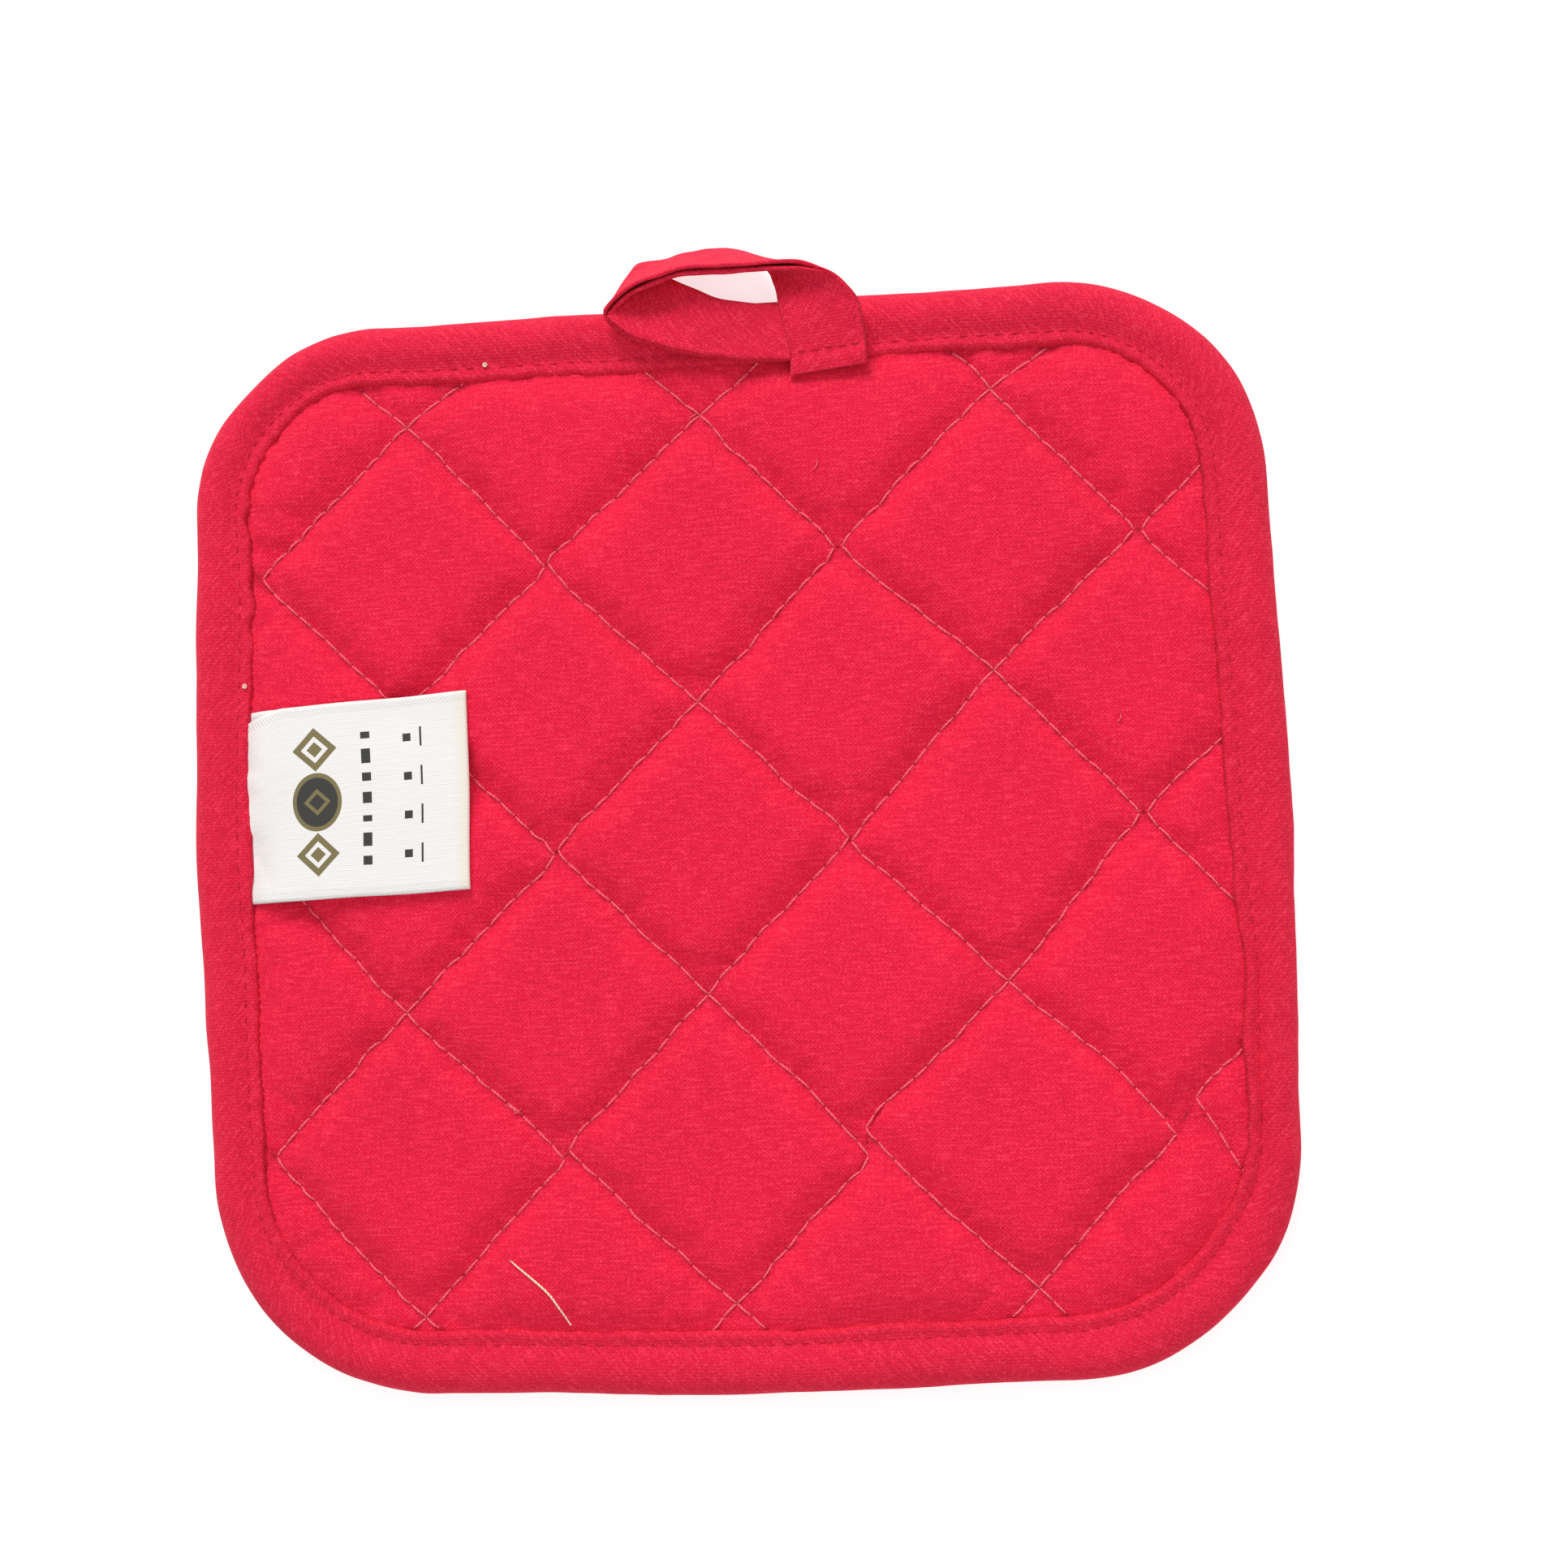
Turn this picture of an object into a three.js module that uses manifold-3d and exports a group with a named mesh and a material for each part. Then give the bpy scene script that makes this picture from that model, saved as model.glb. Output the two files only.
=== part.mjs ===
// Quilted square pot holder. Two cotton covers and a layer of batting are lockstitched in
// diamonds, and bias tape binds the edge. The tail of the tape is turned back on itself as a
// hanging loop, and a folded ribbon label is caught under the binding on the left.
//
// Millimetres. +X points right and +Y towards the loop on the front, +Z out of the front. The
// origin is the centre of the back face, where the pad rests.
import * as THREE from "three";
import { ParametricGeometry } from "three/addons/geometries/ParametricGeometry.js";
import { mergeVertices } from "three/addons/utils/BufferGeometryUtils.js";
import Module from "manifold-3d";

const wasm = await Module();
wasm.setup();

// ---- the outline: 190.5 mm over all, counting how far the sides bow out
const HALF_WIDTH = 94.5;
const HALF_HEIGHT = 94;
// Corners anticlockwise from the top right. bow is for the side that follows the corner.
const CORNERS = [
  { x: 1, y: 1, radius: 35, bow: 0 },
  { x: -1, y: 1, radius: 34.5, bow: 1.5 },
  { x: -1, y: -1, radius: 39, bow: 1.2 },
  { x: 1, y: -1, radius: 41, bow: 1.3 },
];
const ARC_STEPS = 8;
const SIDE_STEPS = 6;

// ---- the quilted layers, measured up from the back face
const LOFT = 8; // crown of the back to crown of the front
const MIDDLE = LOFT / 2;
const VALLEY = 5.8; // front surface along a row of quilting
const RIM = 5.4; // front surface where the binding presses the layers together
const RIM_INSET = 12.5; // the layers start to swell here
const SWELL_INSET = 21; // and reach their full loft here
const PANEL_INSET = 3; // cut edge of the layers inside the binding
const VALLEY_HALF_WIDTH = 8;
const VALLEY_OFFSET = 0.005; // the two families of valleys differ in height by twice this
const CLOTH = 0.5;
const GAP = 0.3;

// ---- diamond quilting, sewn as zigzag rows in bands that run from top to bottom
const BAND = 51.5; // width of a band and of a diamond
const RISE = 50.9; // height of a diamond
const FIRST_BORDER = -82.6; // left border of band 0
const FIRST_CROSSING = 75.5; // the two rows of a band cross here, and every RISE below
const ROW_SPARE = 0.6; // a row turns this far short of its band's border
const TURN = 1.2; // length of the rounded turn of a row
const HUMP = 0.95; // height of one row's thread over the other where they cross
const HUMP_LENGTH = 2.5;
const QUILT_END_INSET = 12.2;
const SHORTEST_ROW = 9;
const THREAD_RADIUS = 0.25;
const QUILT_THREAD_RISE = 0.8; // middle of the thread above the floor of its valley

// ---- bias tape, its seam and its loop
const TAPE_THICKNESS = 0.8;
const LIP_INSET = 11; // folded edge of the binding
const SEAM_INSET = 8.8;
const LOOP_THICKNESS = 1.2;

// ---- label
const LABEL_WIDTH = 34.6;
const LABEL_HINGE_X = -83.2;
const LABEL_END_X = -45.6;
const LABEL_MIDDLE_Y = 9.7;
const LABEL_TURN = 1.3 * (Math.PI / 180);
const POCKET_LENGTH = 9; // room in the layers for its sewn end

const RED = new THREE.Color("#e62848");
const BINDING_RED = new THREE.Color("#d0213e");
const QUILT_THREAD_PINK = new THREE.Color("#f0717d");
const SEAM_THREAD_RED = new THREE.Color("#8f1129");
const SATIN_WHITE = new THREE.Color("#f2efea");
const FIBRE_WHITE = new THREE.Color("#f4f1e8");

const root = new THREE.Group();

// ---- helpers

function place(name, geometry, color, roughness = 0.95) {
  const material = new THREE.MeshStandardMaterial({ color, roughness, metalness: 0 });
  const mesh = new THREE.Mesh(geometry, material);
  mesh.name = name;
  root.add(mesh);
}

// A closed surface through rows of points, each row a closed ring of the same number of
// points. Joined, the last row meets the first; otherwise each end is closed by a fan.
function skin(rows, joined = false) {
  const around = rows[0].length;
  const ends = joined ? [] : [rows[0], rows.at(-1)].map((row) => Array(around).fill(centre(row)));
  const all = joined ? rows : [ends[0], ...rows, ends[1]];
  const along = joined ? all.length : all.length - 1;
  return new ParametricGeometry(
    (u, v, target) => {
      const row = all[Math.round(v * along) % all.length];
      target.copy(row[Math.round(u * around) % around]);
    },
    around,
    along,
  );
}

function centre(points) {
  const sum = new THREE.Vector3();
  points.forEach((point) => sum.add(point));
  return sum.divideScalar(points.length);
}

// Points of the pad's outline, moved in by inset, anticlockwise
function outline(inset, z) {
  const heart = ({ x, y, radius }) =>
    new THREE.Vector3(x * (HALF_WIDTH - radius), y * (HALF_HEIGHT - radius), z);
  const heading = (angle) => new THREE.Vector3(Math.cos(angle), Math.sin(angle), 0);
  const points = [];
  CORNERS.forEach((corner, k) => {
    const next = CORNERS[(k + 1) % CORNERS.length];
    const start = (k * Math.PI) / 2;
    for (let i = 0; i < ARC_STEPS; i++) {
      const out = heading(start + (i / ARC_STEPS) * (Math.PI / 2));
      points.push(heart(corner).addScaledVector(out, corner.radius - inset));
    }
    const out = heading(start + Math.PI / 2);
    const from = heart(corner).addScaledVector(out, corner.radius - inset);
    const to = heart(next).addScaledVector(out, next.radius - inset);
    for (let i = 0; i < SIDE_STEPS; i++) {
      const t = i / SIDE_STEPS;
      const bow = corner.bow * Math.sin(Math.PI * t) ** 2;
      points.push(from.clone().lerp(to, t).addScaledVector(out, bow));
    }
  });
  return points;
}

// How far a point lies inside the pad's outline, leaving out the bow of the sides
function insetAt(x, y) {
  const corner = CORNERS.find((c) => c.x * x >= 0 && c.y * y >= 0);
  const dx = Math.abs(x) - (HALF_WIDTH - corner.radius);
  const dy = Math.abs(y) - (HALF_HEIGHT - corner.radius);
  const outside = Math.hypot(Math.max(dx, 0), Math.max(dy, 0));
  return corner.radius - outside - Math.min(Math.max(dx, dy), 0);
}

// A round thread along a path. The ring at each point lies in the plane between its two legs.
function thread(path, joined = false) {
  const sides = 6;
  const count = path.length;
  const rows = path.map((point, i) => {
    const before = joined ? path[(i + count - 1) % count] : path[Math.max(i - 1, 0)];
    const after = joined ? path[(i + 1) % count] : path[Math.min(i + 1, count - 1)];
    const along = after.clone().sub(before).normalize();
    const across = new THREE.Vector3(0, 0, 1).cross(along).normalize();
    const up = along.clone().cross(across);
    return Array.from({ length: sides }, (_, k) => {
      const angle = (2 * Math.PI * (k + 0.5)) / sides;
      return point
        .clone()
        .addScaledVector(across, THREAD_RADIUS * Math.cos(angle))
        .addScaledVector(up, THREAD_RADIUS * Math.sin(angle));
    });
  });
  return skin(rows, joined);
}

// Flat tape between two edges, each a list of points along its length
function tape(stations, steps, thickness) {
  const lips = new THREE.CatmullRomCurve3(stations.map(([x, y, z]) => new THREE.Vector3(x, y, z)));
  const fold = new THREE.CatmullRomCurve3(
    stations.map(([, , , x, y, z]) => new THREE.Vector3(x, y, z)),
  );
  const rows = [];
  for (let i = 0; i <= steps; i++) {
    const t = i / steps;
    const width = fold.getPoint(t).sub(lips.getPoint(t));
    const along = lips.getTangent(t).add(fold.getTangent(t));
    const half = width.cross(along).setLength(thickness / 2);
    rows.push([
      lips.getPoint(t).add(half),
      fold.getPoint(t).add(half),
      fold.getPoint(t).sub(half),
      lips.getPoint(t).sub(half),
    ]);
  }
  return skin(rows);
}

function toManifold(geometry) {
  const bare = geometry.clone();
  bare.deleteAttribute("normal");
  bare.deleteAttribute("uv");
  const merged = mergeVertices(bare, 1e-4);
  return new wasm.Manifold(
    new wasm.Mesh({
      numProp: 3,
      vertProperties: merged.attributes.position.array,
      triVerts: new Uint32Array(merged.index.array),
    }),
  );
}

function toGeometry(manifold) {
  const mesh = manifold.getMesh();
  const geometry = new THREE.BufferGeometry();
  geometry.setAttribute("position", new THREE.BufferAttribute(mesh.vertProperties, 3));
  geometry.setIndex(new THREE.BufferAttribute(mesh.triVerts, 1));
  geometry.computeVertexNormals();
  return geometry;
}

// The other face of the pad: a mirror image in the middle plane
function mirrored(manifold) {
  return manifold.mirror([0, 0, 1]).translate([0, 0, LOFT]);
}

// ---- quilted layers

// A V-shaped groove along every straight line that the rows of quilting follow
function grooves() {
  const top = LOFT + 1;
  const halfWidth = (VALLEY_HALF_WIDTH * (top - VALLEY)) / (LOFT - VALLEY);
  const length = 6 * HALF_WIDTH;
  const section = new THREE.Shape([
    new THREE.Vector2(0, VALLEY),
    new THREE.Vector2(halfWidth, top),
    new THREE.Vector2(-halfWidth, top),
  ]);
  const cutters = [];
  for (const lean of [1, -1]) {
    for (let line = -4; line <= 7; line++) {
      const groove = new THREE.ExtrudeGeometry(section, { depth: length, bevelEnabled: false })
        .translate(0, 0, -length / 2)
        .rotateX(Math.PI / 2)
        .rotateZ(Math.atan2(lean * RISE, BAND) - Math.PI / 2)
        .translate(FIRST_BORDER + (line + 0.5) * BAND, FIRST_CROSSING, lean * VALLEY_OFFSET);
      cutters.push(toManifold(groove));
    }
  }
  return wasm.Manifold.union(cutters);
}

// A pocket with sloping sides, pressed into the front by the sewn end of the label
function labelPocket() {
  const floor = RIM - CLOTH - GAP;
  const [x, y] = [POCKET_LENGTH / 2, LABEL_WIDTH / 2 + 1.5];
  const corners = [[-x, -y], [x, -y], [x, y], [-x, y]];
  const shape = new THREE.Shape(corners.map((corner) => new THREE.Vector2(...corner)));
  const slope = { bevelThickness: LOFT, bevelSize: LOFT, bevelSegments: 1 };
  const pocket = new THREE.ExtrudeGeometry(shape, { depth: 1, ...slope })
    .translate(LABEL_HINGE_X - 1.7, LABEL_MIDDLE_Y, floor + LOFT);
  return toManifold(pocket);
}

const quilting = grooves();
const pocket = labelPocket();

// Everything below the quilted front surface, out to the given inset
function belowFront(edge) {
  const rings = [
    outline(edge, -LOFT),
    outline(edge, RIM),
    outline(RIM_INSET, RIM),
    outline(SWELL_INSET, LOFT),
  ];
  return toManifold(skin(rings)).subtract(quilting);
}

// What lies at least depth inside the front surface, and inside the back surface
const insideFront = (edge, depth) =>
  belowFront(edge).subtract(pocket).translate([0, 0, -depth]);
const insideBack = (edge, depth) =>
  belowFront(edge).mirror([0, 0, 1]).translate([0, 0, LOFT + depth]);

const frontCover = insideFront(PANEL_INSET, 0).subtract(insideFront(PANEL_INSET - 1, CLOTH));
const backCover = insideBack(PANEL_INSET, 0).subtract(insideBack(PANEL_INSET - 1, CLOTH));
const batting = insideFront(PANEL_INSET + 1, CLOTH + GAP).intersect(
  insideBack(PANEL_INSET + 1, CLOTH + GAP),
);
place("front_cover", toGeometry(frontCover), RED);
place("batting", toGeometry(batting), FIBRE_WHITE);
place("back_cover", toGeometry(backCover), RED);

// ---- quilting threads

// One zigzag row on the front. The rows of a band start on opposite sides; row 1 lies over row 0.
function zigzag(band, row) {
  const left = FIRST_BORDER + band * BAND + ROW_SPARE;
  const right = FIRST_BORDER + (band + 1) * BAND - ROW_SPARE;
  const height = VALLEY + QUILT_THREAD_RISE;
  const corners = [];
  for (let turn = 0; turn < 5; turn++) {
    const x = (turn + band + row + 1) % 2 ? left : right;
    corners.push(new THREE.Vector3(x, FIRST_CROSSING + (0.5 - turn) * RISE, height));
  }
  const path = [];
  for (let leg = 1; leg < corners.length; leg++) {
    const from = corners[leg - 1];
    const to = corners[leg];
    const along = to.clone().sub(from).normalize();
    const crossing = from.clone().lerp(to, 0.5);
    path.push(from.clone().addScaledVector(along, TURN));
    if (row === 1) {
      path.push(crossing.clone().addScaledVector(along, -HUMP_LENGTH));
      path.push(crossing.clone().setZ(height + HUMP));
      path.push(crossing.clone().addScaledVector(along, HUMP_LENGTH));
    } else {
      path.push(crossing);
    }
    path.push(to.clone().addScaledVector(along, -TURN));
  }
  return path;
}

// The stretches of a path that lie inside the binding
function insideBinding(path) {
  const inside = (point) => insetAt(point.x, point.y) > QUILT_END_INSET;
  const crossEdge = (inner, outer) => {
    let [a, b] = [inner.clone(), outer.clone()];
    for (let i = 0; i < 24; i++) {
      const middle = a.clone().lerp(b, 0.5);
      if (inside(middle)) a = middle;
      else b = middle;
    }
    return a;
  };
  const stretches = [];
  let stretch = [];
  path.forEach((point, i) => {
    const before = path[i - 1];
    if (inside(point)) {
      if (before && !inside(before)) stretch.push(crossEdge(point, before));
      stretch.push(point);
    } else if (stretch.length) {
      stretch.push(crossEdge(before, point));
      stretches.push(stretch);
      stretch = [];
    }
  });
  if (stretch.length) stretches.push(stretch);
  return stretches.filter((points) => pathLength(points) > SHORTEST_ROW);
}

function pathLength(points) {
  return points.slice(1).reduce((sum, point, i) => sum + point.distanceTo(points[i]), 0);
}

let rowNumber = 0;
for (let band = -1; band <= 3; band++) {
  for (const row of [0, 1]) {
    for (const path of insideBinding(zigzag(band, row))) {
      rowNumber += 1;
      const label = String(rowNumber).padStart(2, "0");
      const backPath = path.map(({ x, y, z }) => new THREE.Vector3(x, y, LOFT - z));
      place(`quilting_needle_thread_${label}`, thread(path), QUILT_THREAD_PINK, 0.7);
      place(`quilting_bobbin_thread_${label}`, thread(backPath), QUILT_THREAD_PINK, 0.7);
    }
  }
}

// ---- edge binding

// Half of the tape's section, from its front lip out to the middle of the edge: inset, height
const OUTER_SECTION = [
  [LIP_INSET, 6.9],
  [SEAM_INSET, 6.5],
  [6, 6.95],
  [3.5, 7],
  [1.4, 6.4],
  [0.3, 5.2],
];
const INNER_SECTION = [
  [1.4, 4.8],
  [2, 5.8],
  [3.5, 7 - TAPE_THICKNESS],
  [6, 6.95 - TAPE_THICKNESS],
  [SEAM_INSET, 6.5 - TAPE_THICKNESS],
  [LIP_INSET, 6.9 - TAPE_THICKNESS],
];
const turnedOver = (section) => section.map(([inset, z]) => [inset, LOFT - z]).reverse();
const tapeSection = [
  ...OUTER_SECTION,
  [0, MIDDLE],
  ...turnedOver(OUTER_SECTION),
  ...turnedOver(INNER_SECTION),
  ...INNER_SECTION,
].reverse();
const bindingRings = tapeSection.map(([inset, z]) => outline(inset, z));
place("edge_binding", skin(bindingRings, true), BINDING_RED);

const seamHeight = 6.5 + GAP + 1.2 * THREAD_RADIUS;
const seam = (z) => thread(outline(SEAM_INSET, z), true);
place("binding_needle_thread", seam(seamHeight), SEAM_THREAD_RED, 0.7);
place("binding_bobbin_thread", seam(LOFT - seamHeight), SEAM_THREAD_RED, 0.7);

// ---- hanging loop: each station is a point on the open, lipped edge of the tape and the point
// across from it on the folded edge

// Sewn over the binding, where the tail of the tape leaves it
const SEWN_START = [
  [12, 82.7, 8.4, 10.5, 92.6, 8.1],
  [7.8, 83.1, 8.4, 7.4, 93, 8],
  [1.4, 83.9, 8.4, 2.2, 94.3, 7.6],
];
// Free: left across the edge, back on itself, right on its folded edge, and down the front
const FREE_LOOP = [
  [0.7, 84, 8.4, 1.5, 94.4, 7.7],
  [-4.1, 85, 8.7, -2.2, 96.3, 7.3],
  [-8.4, 86.2, 9, -5.8, 98.2, 6.3],
  [-12.6, 87.7, 9.5, -8.9, 100.2, 5.2],
  [-15.8, 89.8, 9.9, -11.4, 101.7, 3.8],
  [-17.7, 92.1, 10.2, -12.9, 102.7, 2.3],
  [-14.9, 94.6, 11.2, -11.4, 103.3, 1.3],
  [-11.3, 96.4, 12, -8.2, 103.7, 0.9],
  [-5.7, 97.9, 12.1, -3.8, 104.6, 0.8],
  [1.1, 98.3, 12.1, 1.1, 104.9, 0.8],
  [8, 98.2, 12.1, 5.6, 104.1, 0.9],
  [13.1, 98.2, 12.1, 8.8, 102.2, 1.4],
  [17.2, 97.9, 12, 10.5, 100.1, 2.8],
  [21.1, 96.9, 11.6, 11.3, 97.6, 4.8],
  [23.7, 95.3, 10.8, 11.9, 95.2, 6.6],
  [25.5, 92.9, 10, 12.4, 91.6, 8.2],
  [26.6, 89.5, 9.2, 13.1, 88.6, 8.5],
  [26.8, 87.6, 8.8, 13.6, 86.5, 8.4],
];
// Tacked down on the front, with its cut end past the binding
const TACKED_END = [
  [26.9, 86.4, 8.6, 13.9, 85.4, 8.5],
  [27.1, 84.4, 8.5, 14.3, 83.6, 8.4],
  [27, 81.6, 8, 14.2, 80, 7.7],
];
place("loop_sewn_start", tape(SEWN_START, 6, LOOP_THICKNESS), BINDING_RED);
place("hanging_loop", tape(FREE_LOOP, 68, LOOP_THICKNESS), BINDING_RED);
place("loop_tacked_end", tape(TACKED_END, 6, LOOP_THICKNESS), BINDING_RED);

const TACK_HEIGHT = 9.5;
const tack = [
  new THREE.Vector3(15, 83.9, TACK_HEIGHT),
  new THREE.Vector3(20.5, 84.4, TACK_HEIGHT),
  new THREE.Vector3(26.4, 84.9, TACK_HEIGHT),
];
place("loop_tack_thread", thread(tack), SEAM_THREAD_RED, 0.7);

// ---- label: a strip bent to a side profile of x and z, across the label's width
function labelStrip(profile) {
  const shape = new THREE.Shape(profile.map(([x, z]) => new THREE.Vector2(x, z)));
  return new THREE.ExtrudeGeometry(shape, { depth: LABEL_WIDTH, bevelEnabled: false })
    .rotateX(Math.PI / 2)
    .translate(-LABEL_HINGE_X, LABEL_WIDTH / 2, 0)
    .rotateZ(LABEL_TURN)
    .translate(LABEL_HINGE_X, LABEL_MIDDLE_Y, 0);
}

const sewnEnd = [
  [LABEL_HINGE_X - 4.2, 4.9],
  [LABEL_HINGE_X - 0.9, 4.9],
  [LABEL_HINGE_X - 0.3, 5.4],
  [LABEL_HINGE_X - 0.3, 6.1],
  [LABEL_HINGE_X - 1, 5.4],
  [LABEL_HINGE_X - 4.2, 5.4],
];
const flap = [
  [LABEL_HINGE_X + 0.2, 6.4],
  [-81.6, 7],
  [-74.5, 8.35],
  [LABEL_END_X, 8.35],
  [LABEL_END_X + 0.4, 8.8],
  [LABEL_END_X, 9.25],
  [-74.8, 9.25],
  [-81.8, 7.85],
  [LABEL_HINGE_X + 0.2, 7.1],
];
place("label_sewn_end", labelStrip(sewnEnd), SATIN_WHITE, 0.45);
place("label_flap", labelStrip(flap), SATIN_WHITE, 0.45);

export default root;
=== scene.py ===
# Quilted square pot holder: puffed cotton covers sewn in diamonds, bias binding, a hanging loop
# folded from the end of the tape, and a folded ribbon label. Lengths are in millimetres until a
# mesh is made. +X is right and +Y is towards the loop on the front, which faces +Z.
import math

import bpy
import numpy as np
from mathutils import Euler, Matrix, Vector
from mathutils.bvhtree import BVHTree


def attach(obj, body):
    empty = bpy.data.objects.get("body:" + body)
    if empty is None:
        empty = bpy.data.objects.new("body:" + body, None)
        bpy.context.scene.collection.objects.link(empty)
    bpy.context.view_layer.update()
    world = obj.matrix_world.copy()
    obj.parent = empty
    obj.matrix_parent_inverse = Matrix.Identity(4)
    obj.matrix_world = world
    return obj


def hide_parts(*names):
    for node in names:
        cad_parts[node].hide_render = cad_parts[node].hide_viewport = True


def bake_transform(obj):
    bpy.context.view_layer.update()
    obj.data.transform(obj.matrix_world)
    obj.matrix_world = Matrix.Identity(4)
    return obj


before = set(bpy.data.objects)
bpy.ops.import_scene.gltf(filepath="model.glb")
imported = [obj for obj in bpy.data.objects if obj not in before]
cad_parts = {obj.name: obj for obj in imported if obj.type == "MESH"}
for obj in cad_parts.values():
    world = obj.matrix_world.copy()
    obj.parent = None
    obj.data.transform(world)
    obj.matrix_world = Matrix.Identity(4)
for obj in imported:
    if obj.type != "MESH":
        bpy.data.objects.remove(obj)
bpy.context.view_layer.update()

MM = 0.001

# ---- the outline, as the CAD has it
HALF_WIDTH, HALF_HEIGHT = 94.5, 94.0
# Corners anticlockwise from the top right: signs of x and y, radius, bow of the next side
CORNERS = [(1, 1, 35, 0), (-1, 1, 34.5, 1.5), (-1, -1, 39, 1.2), (1, -1, 41, 1.3)]

# ---- the quilted layers
LOFT = 8.0
MIDDLE = LOFT / 2
VALLEY = 5.8  # front surface along a row of quilting
RIM = 5.5  # front surface under the lip of the binding
RIM_INSET, SWELL_INSET = 11.5, 24
COVER_INSET = 4.0  # cut edge of the covers inside the binding
COVER_THICKNESS = 0.35
BATTING_INSET = 5.0

# ---- diamond quilting
BAND, RISE = 51.5, 50.9
CROSSING = np.array([-82.6 + BAND / 2, 75.5])
STITCHES = 11  # stitches along one side of a diamond
STITCH_STEPS = 3  # mesh steps to a stitch
CELL = STITCHES * STITCH_STEPS
LATTICE_U, LATTICE_V = (-5, 4), (-2, 7)  # diamonds either way that cover the whole pad
BANDS = range(-1, 4)
SIDE = math.hypot(BAND, RISE) / 2
THREAD = 0.4  # diameter

# ---- bias tape
LIP_INSET, SEAM_INSET = 11.0, 8.8
SEAM_STITCH = 3.0
TAPE_CLOTH = 0.34
TAPE_STEP = 0.8  # mesh step across the tape
BINDING_STATIONS = 620

# ---- label
LABEL_WIDTH, LABEL_HINGE_X = 34.6, -83.2
LABEL_MIDDLE_Y, LABEL_TURN = 9.7, math.radians(1.5)
LABEL_REACH = 39.6  # from the lip to its fold


# ==== helpers

def ripple(points, wavelength, seed, waves=10):
    """Smooth noise of about -1 to 1 at each point, from crossing waves."""
    rng = np.random.default_rng(seed)
    points = np.asarray(points, float)
    way = rng.normal(size=(waves, points.shape[-1]))
    way /= np.linalg.norm(way, axis=1, keepdims=True)
    way *= (2 * math.pi / wavelength / rng.uniform(0.7, 1.7, waves))[:, None]
    phase = rng.uniform(0, 2 * math.pi, waves)
    return np.sin(points @ way.T + phase).sum(-1) / math.sqrt(waves) * 0.75


def smooth(x):
    x = np.clip(x, 0, 1)
    return x * x * (3 - 2 * x)


def bump(x, width):
    """1 at 0, falling smoothly to 0 about width away."""
    return np.exp(-((x / width) ** 2))


def curve_through(points, count):
    """count points on a Catmull-Rom curve through the points given."""
    p = np.asarray(points, float)
    p = np.vstack([2 * p[0] - p[1], p, 2 * p[-1] - p[-2]])
    at = np.linspace(0, len(p) - 3, count)
    i = np.minimum(at.astype(int), len(p) - 4)
    t = (at - i)[:, None]
    a, b, c, d = p[i], p[i + 1], p[i + 2], p[i + 3]
    return 0.5 * (2 * b + (c - a) * t + (2 * a - 5 * b + 4 * c - d) * t**2
                  + (3 * b - a - 3 * c + d) * t**3)


def run_along(path):
    """How far along a path each of its points is."""
    return np.concatenate([[0], np.cumsum(np.linalg.norm(np.diff(path, axis=0), axis=1))])


def even(points, step):
    """The same path with its points about step apart."""
    p = np.asarray(points, float)
    along = run_along(p)
    at = np.linspace(0, along[-1], max(3, round(along[-1] / step) + 1))
    return np.stack([np.interp(at, along, p[:, k]) for k in range(p.shape[1])], axis=1)


def grid_faces(rows, columns, wrap_rows=False, wrap_columns=False):
    r = np.arange(rows if wrap_rows else rows - 1)
    c = np.arange(columns if wrap_columns else columns - 1)
    r, c = np.meshgrid(r, c, indexing="ij")
    r2, c2 = (r + 1) % rows, (c + 1) % columns
    quads = [r * columns + c, r * columns + c2, r2 * columns + c2, r2 * columns + c]
    return np.stack(quads, axis=-1).reshape(-1, 4)


def add_object(name, data):
    made = bpy.data.objects.new(name, data)
    bpy.context.scene.collection.objects.link(made)
    return made


def make_mesh(name, points, faces, uv=None):
    """A smooth-shaded object from points in millimetres. uv is one pair for each point."""
    mesh = bpy.data.meshes.new(name)
    mesh.from_pydata((np.asarray(points, float) * MM).tolist(), [], [list(f) for f in faces])
    mesh.polygons.foreach_set("use_smooth", [True] * len(mesh.polygons))
    piece = add_object(name, mesh)
    if uv is not None:
        set_uv(mesh, uv)
    mesh.validate()
    mesh.update()
    return piece


def set_uv(mesh, uv):
    layer = mesh.uv_layers.new(name="cloth")
    index = np.zeros(len(mesh.loops), np.int32)
    mesh.loops.foreach_get("vertex_index", index)
    layer.data.foreach_set("uv", np.asarray(uv, np.float32)[index].ravel())


def points_of(piece):
    co = np.zeros(len(piece.data.vertices) * 3)
    piece.data.vertices.foreach_get("co", co)
    return co.reshape(-1, 3) / MM


def height_on(tree, x, y, way=-1):
    """Height at which a look along way, down or up, meets a surface, or None."""
    hit = tree.ray_cast(Vector((x, y, MIDDLE - 40 * way)), Vector((0, 0, way)))[0]
    return None if hit is None else hit.z


def tree_of(piece):
    faces = [face.vertices[:] for face in piece.data.polygons]
    return BVHTree.FromPolygons([Vector(p) for p in points_of(piece)], faces)


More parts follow.
